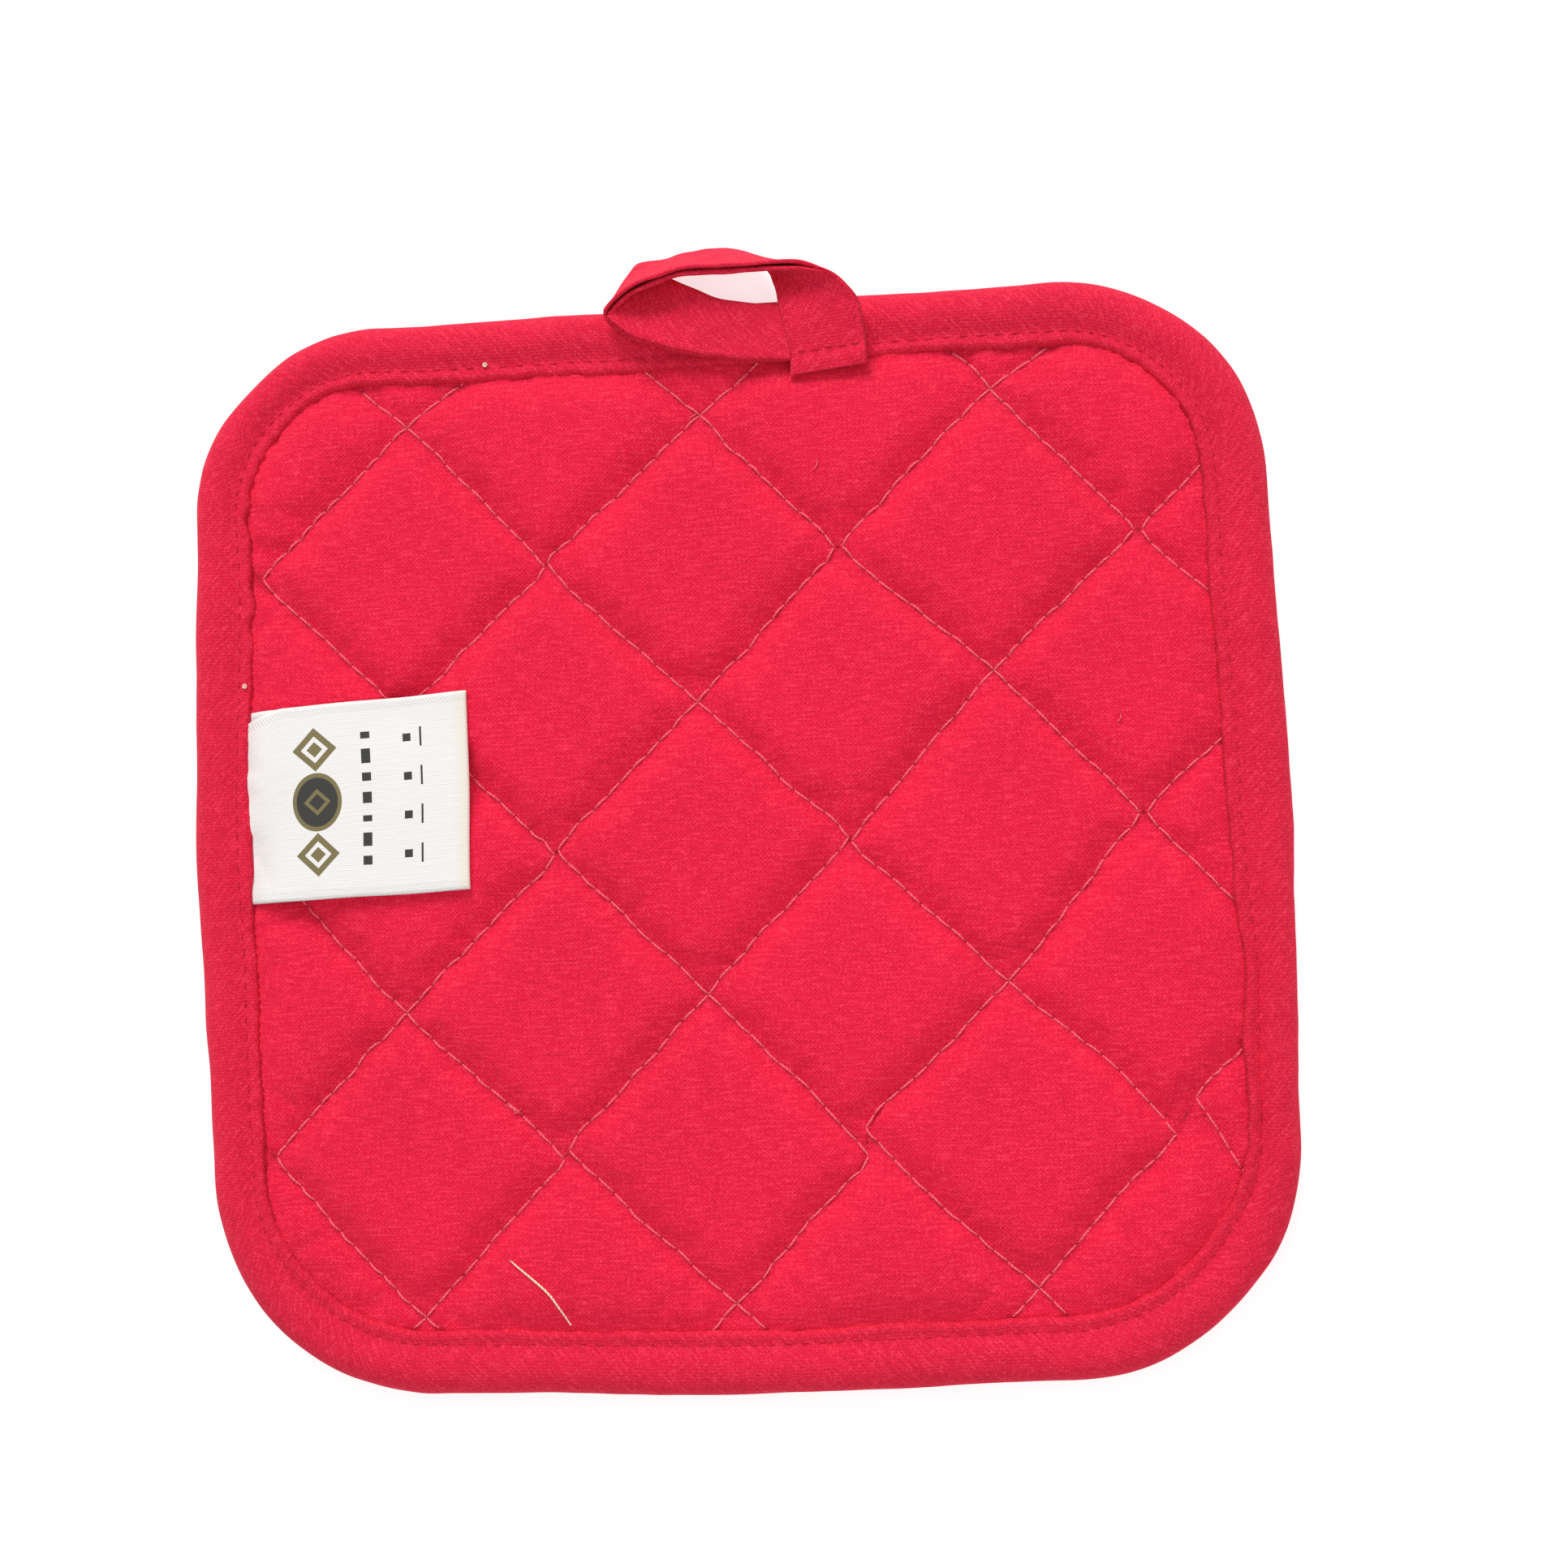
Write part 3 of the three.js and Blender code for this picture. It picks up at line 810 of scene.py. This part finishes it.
def turn_short(points, holes):
    """Pulls a row's turns a little back from the border, so that neighbours don't touch."""
    at = holes.sum(axis=1)  # odd at a border
    border = np.abs(at - np.round(at)) < 1e-6
    odd = border & (np.round(at).astype(int) % 2 == 1)
    moved = points.copy()
    for k in np.flatnonzero(odd):
        before, after = points[max(k - 1, 0)], points[min(k + 1, len(points) - 1)]
        moved[k] += 0.3 * ((before + after) / 2 - points[k])
    return moved


def stitches(points, lift, rng, on_front):
    """A thread from each hole to the next, dipping into the cloth at both ends."""
    sign = 1 if on_front else -1
    paths = []
    for a, b in zip(points[:-1], points[1:]):
        side = rng.normal(size=2) * 0.09
        path = []
        for t in np.linspace(0, 1, 7):
            x, y = a * (1 - t) + b * t + side * math.sin(math.pi * t)
            z = surface(x, y, on_front)
            if z is None:
                break
            arch = math.sin(math.pi * t)
            rise = (THREAD / 2 + lift) * arch**0.5 - 0.2 * (1 - arch)
            path.append((x, y, z + sign * rise))
        if len(path) == 7:
            paths.append(path)
    return paths


def rows_of_quilting():
    number = 0
    rng = np.random.default_rng(31)
    for band in BANDS:
        for row in (0, 1):
            holes = zigzag(band, row)
            points = turn_short(lattice_to_xy(holes, band), holes)
            inside = inset_of(points) - lip_drift(points) > QUILT_END_INSET
            runs = np.split(np.arange(len(points)), np.flatnonzero(np.diff(inside.astype(int))) + 1)
            for run in runs:
                if not inside[run[0]] or len(run) < SHORTEST_ROW:
                    continue
                number += 1
                over = 0.12 if row else 0.0
                for side, on_front in (("needle", True), ("bobbin", False)):
                    name = f"quilting_{side}_thread_{number:02d}"
                    piece = tubes("sewn_" + name, stitches(points[run], over, rng, on_front), THREAD / 2)
                    dress(piece, quilting_cotton, "quilting_thread", name)


rows_of_quilting()


# ==== edge binding

def tape_section():
    """Middle line of the tape's section as inset and height: raw edge, lip, round to the back."""
    half = [(5.5, 6.15), (8.6, 5.75), (10.2, 5.82), (10.85, 5.95), (11.05, 6.25), (10.75, 6.5),
            (9.9, 6.5), (8.8, 6.22), (7.6, 6.5), (6.2, 6.95), (4.6, 7.15), (3.0, 6.95),
            (1.7, 6.4), (0.75, 5.5), (0.25, 4.7)]
    over = [(inset, LOFT - z) for inset, z in reversed(half)]
    return even(curve_through(half + [(0.17, MIDDLE)] + over, 400), TAPE_STEP)


def sweep_strip(path, thickness):
    """The closed ring of points round a strip whose middle line is given."""
    way = np.gradient(path, axis=-2)
    way /= np.linalg.norm(way, axis=-1, keepdims=True)
    side = np.stack([-way[..., 1], way[..., 0]], axis=-1) * thickness / 2
    return np.concatenate([path + side, (path - side)[..., ::-1, :]], axis=-2)


def rim_ripple(place, wavelength, seed):
    """Ripples along the rim that come round to meet themselves where it starts."""
    share = smooth((place[..., 0] - RIM_LENGTH + 60) / 60)
    again = place - np.array([RIM_LENGTH] + [0] * (place.shape[-1] - 1))
    return ripple(place, wavelength, seed) * (1 - share) + ripple(again, wavelength, seed) * share


def looseness(x, y):
    """1 where the lip stands up, low on the right."""
    return bump(x - 93, 12) * bump(y + 42, 24)


def lip_wobble(run, x, y):
    """Small wanderings of the front lip, rougher on the left near the top."""
    run = run[:, None]
    shift = 0.28 * rim_ripple(run, 26, 11) + 0.12 * rim_ripple(run, 7, 12)
    rough = bump(x + 94, 10) * bump(y - 52, 14)
    return shift + rough * 0.75 * rim_ripple(run, 6, 13) + looseness(x, y) * 0.8 * rim_ripple(run, 15, 10)


def binding_piece():
    base = tape_section()
    count = len(base)
    points, out, run, length = rim(BINDING_STATIONS)
    path = np.repeat(base[None], BINDING_STATIONS, axis=0)
    inset, z = path[..., 0], path[..., 1]
    front_side = z > MIDDLE
    outward = np.where(front_side, 1, -1)
    cross = np.arange(count) * TAPE_STEP
    place = np.stack(np.broadcast_arrays(run[:, None], cross[None]), axis=-1)
    outer = smooth((np.arange(count) - 12) / 8) * smooth((count - 12 - np.arange(count)) / 8)
    near_lip = smooth((inset - 7.0) / 3.5)
    wobble = lip_wobble(run, points[:, 0], points[:, 1])
    wobble_back = 0.3 * rim_ripple(run[:, None], 24, 14)
    narrower = lip_drift(points - out * LIP_INSET)[:, None]
    from_seam = inset - SEAM_INSET
    soft = 0.16 * rim_ripple(place, 10, 15) + 0.16 * rim_ripple(place, 30, 16)
    belly = smooth((7.8 - inset) / 3)
    swell = outward * outer * belly * soft
    turns = round(length / SEAM_STITCH)
    stitch = 0.5 + 0.5 * np.cos(2 * math.pi * turns * run / length)
    pull = 0.13 + 0.09 * rim_ripple(run[:, None], 12, 20)
    loose = looseness(points[:, 0], points[:, 1])[:, None]
    dimple = bump(from_seam, 0.75) * (0.1 + (pull * stitch**3)[:, None] + 0.8 * loose)
    pucker = 0.14 * rim_ripple(run[:, None], 4.5, 17)[:, None] * smooth((from_seam + 0.2) / 1.5)
    z = z + swell + outward * (pucker - dimple)
    # the lip stands up where it is loose, and lies over the label's sewn end
    over_label = smooth((LABEL_WIDTH / 2 + 2.5 - np.abs(points[:, 1] - LABEL_MIDDLE_Y)) / 2.5)
    over_label = (over_label * (points[:, 0] < 0))[:, None]
    stand = loose * (0.6 + 0.35 * rim_ripple(run[:, None], 12, 9)[:, None]) * smooth(from_seam / 1.4)
    z = z + front_side * (stand + 0.42 * over_label * smooth((inset - 5.0) / 2))
    inset = inset + near_lip * np.where(front_side, wobble[:, None], wobble_back[:, None])
    inset = inset + front_side * narrower * smooth((inset - 2) / 7)
    waver = 0.16 * rim_ripple(run[:, None], 24, 18) + 0.03 * rim_ripple(run[:, None], 6, 19)
    edge = bump(z - MIDDLE, 2.6) * waver[:, None]
    inset = inset - edge * smooth((3 - inset) / 3)
    ring = sweep_strip(np.stack([inset, np.broadcast_to(z, inset.shape)], axis=-1), TAPE_CLOTH)
    xyz = np.concatenate([
        points[:, None] - out[:, None] * ring[..., :1], ring[..., 1:]], axis=-1)
    around = ring.shape[1]
    tape = np.concatenate([cross, cross[::-1]])
    cloth_uv = np.stack(np.broadcast_arrays(run[:, None], tape[None]), axis=-1)
    faces = grid_faces(BINDING_STATIONS, around, True, True)
    piece = make_mesh("bias_binding", xyz.reshape(-1, 3), faces, cloth_uv.reshape(-1, 2))
    # the last row of faces ends where the first starts, a whole length further along
    layer = piece.data.uv_layers["cloth"].data
    for corner in range(4 * (len(faces) - around), 4 * len(faces)):
        if piece.data.loops[corner].vertex_index < around:
            layer[corner].uv[0] += length
    return piece, length


binding, binding_length = binding_piece()
dress(binding, tape_cotton, "binding_tape", "edge_binding")


def seam_threads():
    """Lockstitches along the binding, on both faces."""
    holes, out, _, length = rim(round(RIM_LENGTH / SEAM_STITCH))
    tree = tree_of(binding)
    rng = np.random.default_rng(23)
    for name, way in (("binding_needle_thread", -1), ("binding_bobbin_thread", 1)):
        paths = []
        narrower = lip_drift(holes - out * LIP_INSET) if way == -1 else np.zeros(len(holes))
        depth = SEAM_INSET + narrower + rng.normal(size=len(holes)) * 0.1
        line = holes - out * depth[:, None]
        for a, b in zip(line, np.roll(line, -1, axis=0)):
            path = []
            for t in np.linspace(0.1, 0.9, 6):
                x, y = a * (1 - t) + b * t
                z = height_on(tree, x, y, way)
                share = math.sin(math.pi * (t - 0.1) / 0.8)
                path.append((x, y, z - way * (0.08 * share**0.5 - 0.3 * (1 - share))))
            paths.append(path)
        piece = tubes("sewn_" + name, paths, 0.14)
        dress(piece, seam_cotton, "seam_thread", name)


seam_threads()


# ==== hanging loop

# Each station is a point on the open, lipped edge of the tape and the point across from it on the
# folded edge: from where the tape leaves the binding, left, back, right and down the front
LOOP_STATIONS = [
    (14.2, 82.6, 8.0, 13.0, 92.4, 7.6), (9.5, 82.9, 8.0, 8.8, 92.9, 7.7), (5.0, 83.4, 8.1, 5.2, 93.5, 7.8),
    (0.7, 84.0, 8.3, 1.5, 94.4, 7.7), (-4.1, 85.0, 8.7, -2.2, 96.3, 7.3), (-8.4, 86.2, 9.0, -5.8, 98.2, 6.3),
    (-12.6, 87.7, 9.5, -8.9, 100.2, 5.2), (-15.8, 89.8, 9.9, -11.4, 101.7, 3.8),
    (-17.7, 92.1, 10.2, -12.9, 102.7, 2.3), (-14.9, 94.6, 11.2, -11.4, 103.3, 1.3),
    (-11.3, 96.4, 12.0, -8.2, 103.7, 0.9), (-5.7, 97.9, 12.1, -3.8, 104.6, 0.8),
    (1.1, 98.3, 12.1, 1.1, 104.9, 0.8), (8.0, 98.2, 12.1, 5.6, 104.1, 0.9),
    (13.1, 98.2, 12.1, 8.8, 102.2, 1.4), (17.2, 97.9, 12.0, 10.5, 100.1, 2.8),
    (21.1, 96.9, 11.6, 11.3, 97.6, 4.8), (23.7, 95.3, 10.8, 11.9, 95.2, 6.6),
    (25.5, 92.9, 10.0, 12.4, 91.6, 8.2), (26.6, 89.5, 9.2, 13.1, 88.6, 8.5),
    (26.9, 86.9, 8.8, 13.6, 86.0, 8.4), (27.1, 84.6, 8.35, 14.1, 83.5, 8.1),
    (27.3, 82.9, 8.6, 14.0, 81.5, 8.2), (27.2, 81.2, 8.3, 13.8, 79.9, 7.9),
]
TIP = 8  # the station at the crease on the left
LOOP_STEPS = 8  # mesh steps between stations
LOOP_WIDTH = 12.0
LOOP_CLOTH = 0.3
LOOP_TAPE_STEP = 0.45  # mesh step across the tape


def loop_section():
    """Middle line of the folded tape: distance from the lips, and height over its middle."""
    half = [(11.0, 0.22), (1.4, 0.26), (0.25, 0.36), (0.0, 0.55), (0.35, 0.72), (1.6, 0.66),
            (6.0, 0.6), (10.5, 0.55), (11.7, 0.36)]
    other = [(far, -height) for far, height in reversed(half)]
    return even(curve_through(half + [(LOOP_WIDTH, 0.0)] + other, 300), LOOP_TAPE_STEP)


def loop_sweep():
    """Points of the whole loop, station by station, and how far along the tape each row is."""
    count = (len(LOOP_STATIONS) - 1) * LOOP_STEPS + 1
    lips = curve_through([station[:3] for station in LOOP_STATIONS], count)
    fold = curve_through([station[3:] for station in LOOP_STATIONS], count)
    width = np.linalg.norm(fold - lips, axis=1)
    across = (fold - lips) / width[:, None]
    along = np.gradient(lips, axis=0) + np.gradient(fold, axis=0)
    run = run_along((lips + fold) / 2)
    up = np.cross(across, along)
    up /= np.linalg.norm(up, axis=1, keepdims=True)
    section = loop_section()
    ring = sweep_strip(section, LOOP_CLOTH)
    far, height = ring[:, 0], ring[:, 1]
    cross = np.arange(len(section)) * LOOP_TAPE_STEP
    cross = np.concatenate([cross, cross[::-1]])
    gape = 0.1 * bump((run - 48) / 26, 1.0) + 0.08 * ripple(run[:, None], 14, 41)
    opened = np.sign(height)[None] * np.maximum(gape, 0)[:, None] * np.exp(-far / 3.5)[None]
    wave = 0.22 * ripple(run[:, None], 11, 42)[:, None] * np.exp(-far / 5)[None]
    place = np.stack(np.broadcast_arrays(run[:, None], cross[None]), axis=-1)
    wave = wave + 0.10 * ripple(place, 6, 43)
    ragged = 0.15 * ripple(run[:, None], 8, 44)[:, None] * np.exp(-far / 2)[None]
    out = far[None] / LOOP_WIDTH * width[:, None] + ragged
    tall = height[None] + opened + wave
    points = lips[:, None] + across[:, None] * out[..., None] + up[:, None] * tall[..., None]
    return points, place, run


def loop_piece(name, points, place, first, last):
    """The stretch of the loop between two stations, closed at both ends."""
    rows = slice(first * LOOP_STEPS, last * LOOP_STEPS + 1)
    part, uv = points[rows], place[rows]
    around = part.shape[1]
    faces = grid_faces(len(part), around, wrap_columns=True)[:, ::-1].tolist()
    half = around // 2
    end = (len(part) - 1) * around
    for start, flip in ((0, 1), (end, -1)):
        for k in range(half - 1):
            quad = [start + k, start + k + 1, start + around - 2 - k, start + around - 1 - k]
            faces.append(quad[::flip])
    return make_mesh(name, part.reshape(-1, 3), faces, uv.reshape(-1, 2))


loop_points, loop_place, loop_run = loop_sweep()
tail = loop_piece("loop_tail", loop_points, loop_place, 0, TIP)
band = loop_piece("loop_band", loop_points, loop_place, TIP, len(LOOP_STATIONS) - 1)
dress(tail, tape_cotton, "binding_tape", "loop_sewn_start", body=None)
dress(band, tape_cotton, "binding_tape", "hanging_loop", "loop_tacked_end", body=None)
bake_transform(tail)
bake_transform(band)


TACK_STITCHES = 5
TACK_START, TACK_WAY = np.array([14.9, 83.75]), np.array([11.6, 0.95])


def tack_stitches():
    """The seam that tacks the end of the loop down over the binding."""
    tree = tree_of(band)
    paths = []
    for k in range(TACK_STITCHES):
        path = []
        for t in np.linspace(0.06, 0.94, 7):
            x, y = TACK_START + TACK_WAY * (k + t) / TACK_STITCHES
            z = height_on(tree, x, y)
            if z is not None:
                dip = math.sin(math.pi * (t - 0.06) / 0.88)
                aside = 0.12 * math.sin(4.1 * k)
                path.append((x, y + aside, z + 0.1 * dip**0.5 - 0.25 * (1 - dip)))
        if len(path) > 3:
            paths.append(path)
    dress(tubes("sewn_loop_tack", paths, 0.15), seam_cotton, "seam_thread", "loop_tack_thread")


tack_stitches()


# ==== label

LABEL_START = -6.0  # its sewn end, from the lip of the binding
LABEL_CLOTH = 0.22
LABEL_LIP_X = -86.0
LABEL_STEP = 0.7  # mesh step along it
LABEL_FOLD = 0.34  # how far its fold bulges
LABEL_GAP = 0.7  # between its layers at the fold
BED_STEP = 1.5


def label_bed():
    """The smooth height that the label lies on: the crowns of the quilting under it."""
    xs, ys = np.arange(-92, -38, BED_STEP), np.arange(-14, 34, BED_STEP)
    bed = np.array([[surface(x, y) or RIM for y in ys] for x in xs])
    high = bed.copy()
    for dx in range(-3, 4):
        for dy in range(-3, 4):
            high = np.maximum(high, np.roll(bed, (dx, dy), axis=(0, 1)))
    for _ in range(6):
        pad = np.pad(high, 1, mode="edge")
        high = sum(pad[1 + i:1 + i + len(xs), 1 + j:1 + j + len(ys)]
                   for i in (-1, 0, 1) for j in (-1, 0, 1)) / 9

    def read(table):
        return lambda x, y: interpolate(table, (x - xs[0]) / BED_STEP, (y - ys[0]) / BED_STEP)

    return read(high), read(bed)


def interpolate(table, x, y):
    x = np.clip(x, 0, table.shape[0] - 1.001)
    y = np.clip(y, 0, table.shape[1] - 1.001)
    i, j = x.astype(int), y.astype(int)
    x, y = x - i, y - j
    return (table[i, j] * (1 - x) * (1 - y) + table[i + 1, j] * x * (1 - y)
            + table[i, j + 1] * (1 - x) * y + table[i + 1, j + 1] * x * y)


def label_piece():
    top = np.arange(LABEL_START, LABEL_REACH, LABEL_STEP)
    turn = np.linspace(0, math.pi, 9)[1:-1]
    far = np.concatenate([top, LABEL_REACH + LABEL_FOLD * np.sin(turn), top[::-1]])
    lift = np.concatenate([np.full(len(top), 1.0), 0.5 + 0.5 * np.cos(turn), np.zeros(len(top))])
    run = LABEL_START + run_along(np.column_stack([far, LABEL_GAP * lift]))
    across = np.linspace(-0.5, 0.5, 50) * LABEL_WIDTH
    run, side = np.meshgrid(run, across, indexing="ij")
    far = np.repeat(far[:, None], len(across), axis=1)
    lift = np.repeat(lift[:, None], len(across), axis=1)
    from_fold = 1 - far / LABEL_REACH
    place = np.stack([run, side], axis=-1)
    towards_top = side / LABEL_WIDTH + 0.5
    x0 = LABEL_LIP_X + far + 1.1 * towards_top * (1 - from_fold) + 0.15 * ripple(side[..., None], 30, 51)
    # near the lip the upper layer slips down, and the lower layer shows past its top edge
    slip = lift * 2.2 * np.clip((7.6 - far) / 7.6, 0, 1)
    y0 = side - (0.9 * from_fold + slip) * smooth(towards_top) + 0.12 * ripple(far[..., None], 24, 52)
    c, s = math.cos(LABEL_TURN), math.sin(LABEL_TURN)
    x = LABEL_HINGE_X + (x0 - LABEL_HINGE_X) * c - y0 * s
    y = LABEL_MIDDLE_Y + (x0 - LABEL_HINGE_X) * s + y0 * c
    bed, fine_bed = label_bed()
    bed = bed(x, y)
    tucked = smooth((far - 0.2) / 6.0)
    clear = 0.3 + lift * (0.62 + 0.3 * np.sin(math.pi * np.clip(far / LABEL_REACH, 0, 1)) ** 2)
    clear = clear + 0.12 * ripple(place, 26, 53) * (far > 4)
    low = np.maximum(5.44, fine_bed(x, y) + 0.04)
    z = (low + 0.45 * lift) * (1 - tucked) + np.maximum(bed + clear, low + 0.45 * lift) * tucked
    points = np.stack([x, y, z], axis=-1).reshape(-1, 3)
    faces = grid_faces(*x.shape)
    return thick_sheet("satin_label", points, faces, LABEL_CLOTH, place.reshape(-1, 2))


label = label_piece()
dress(label, satin_ribbon(), "label_ribbon", "label_flap", "label_sewn_end", body=None)
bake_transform(label)


# ==== loose threads caught on the front

def laid_path(points, height):
    path = curve_through([(x, y, 0) for x, y in points], 5 * len(points))
    return [(x, y, (surface(x, y) or LOFT) + height) for x, y, _ in path]


pale = [laid_path([(-41.1, -70.8), (-36.9, -74.4), (-34.8, -76.4), (-33.4, -78.3), (-31.2, -82.3)], 0.2)]
stray = tubes("stray_thread", pale, 0.2)
dress(stray, pale_cotton, "quilting_thread")

# Short ends of thread that lie on the cloth: their two ends
LOOSE_ENDS = [((-41.6, -44.2), (-39.6, -45.6)), ((-40.0, -45.9), (-38.6, -44.9)),
              ((17.1, 63.2), (17.8, 65.0)), ((66.9, 17.0), (67.5, 18.6)), ((-4.5, 74.0), (-3.2, 75.0))]
fibres = [laid_path([a, ((a[0] + b[0]) / 2 + 0.3, (a[1] + b[1]) / 2), b], 0.22) for a, b in LOOSE_ENDS]
loose_ends = tubes("loose_thread_ends", fibres, 0.11)
dress(loose_ends, quilting_cotton, "quilting_thread")


def knots():
    """Two pale knots of sewing thread that came up through the binding's seam."""
    tree = tree_of(binding)
    paths = []
    for x, y in ((-40.3, 85.7), (-85.6, 31.0)):
        z = height_on(tree, x, y) + 0.15
        turns = np.linspace(0, 3.2 * math.pi, 18)
        paths.append([(x + 0.28 * math.cos(t), y + 0.28 * math.sin(t), z + 0.06 * math.sin(1.5 * t))
                      for t in turns])
    dress(tubes("sewn_knots", paths, 0.2), pale_cotton, "seam_thread")


knots()


# ==== floor, light and camera

FLOOR_REACH = 3000


def stage_floor():
    corners = [(x, y, -0.12) for x, y in FLOOR_REACH * np.array([(-1, -1), (1, -1), (1, 1), (-1, 1)])]
    floor = make_mesh("floor", corners, [(0, 1, 2, 3)])
    n = Nodes("floor_white")
    tone = n.mix(n.noise(n.place(), 4.0), linear(196, 196, 196), linear(199, 199, 199))
    n.shader.inputs["Emission Color"].default_value = (1, 1, 1, 1)
    n.shader.inputs["Emission Strength"].default_value = 0.64
    floor.data.materials.append(n.finish(tone, 0.9))


def area_light(name, place, aim, size, power):
    data = bpy.data.lights.new(name, "AREA")
    data.shape = "DISK"
    data.size = size
    data.energy = power
    light = add_object(name, data)
    light.location = place
    light.rotation_euler = (Vector(aim) - Vector(place)).to_track_quat("-Z", "Y").to_euler()


def studio():
    world = bpy.data.worlds.new("studio")
    world.use_nodes = True
    world.node_tree.nodes["Background"].inputs[0].default_value = (1, 1, 1, 1)
    world.node_tree.nodes["Background"].inputs[1].default_value = 0.54
    bpy.context.scene.world = world
    area_light("window", (-0.6, 2.7, 1.7), (0, 0, 0), 1.7, 80)
    area_light("fill", (0.5, -0.6, 1.5), (0, 0, 0), 1.2, 6)
    bpy.context.scene.view_settings.view_transform = "Standard"


def camera():
    data = bpy.data.cameras.new("camera")
    data.lens = 50
    data.sensor_width = 36
    data.clip_start = 0.01
    data.dof.use_dof = False
    made = add_object("camera", data)
    made.location = Vector((45.83, -8.76, 380.27)) * MM
    made.rotation_euler = Euler([math.radians(a) for a in (2.515, 5.646, -2.392)])
    bpy.context.scene.camera = made


stage_floor()
studio()
camera()
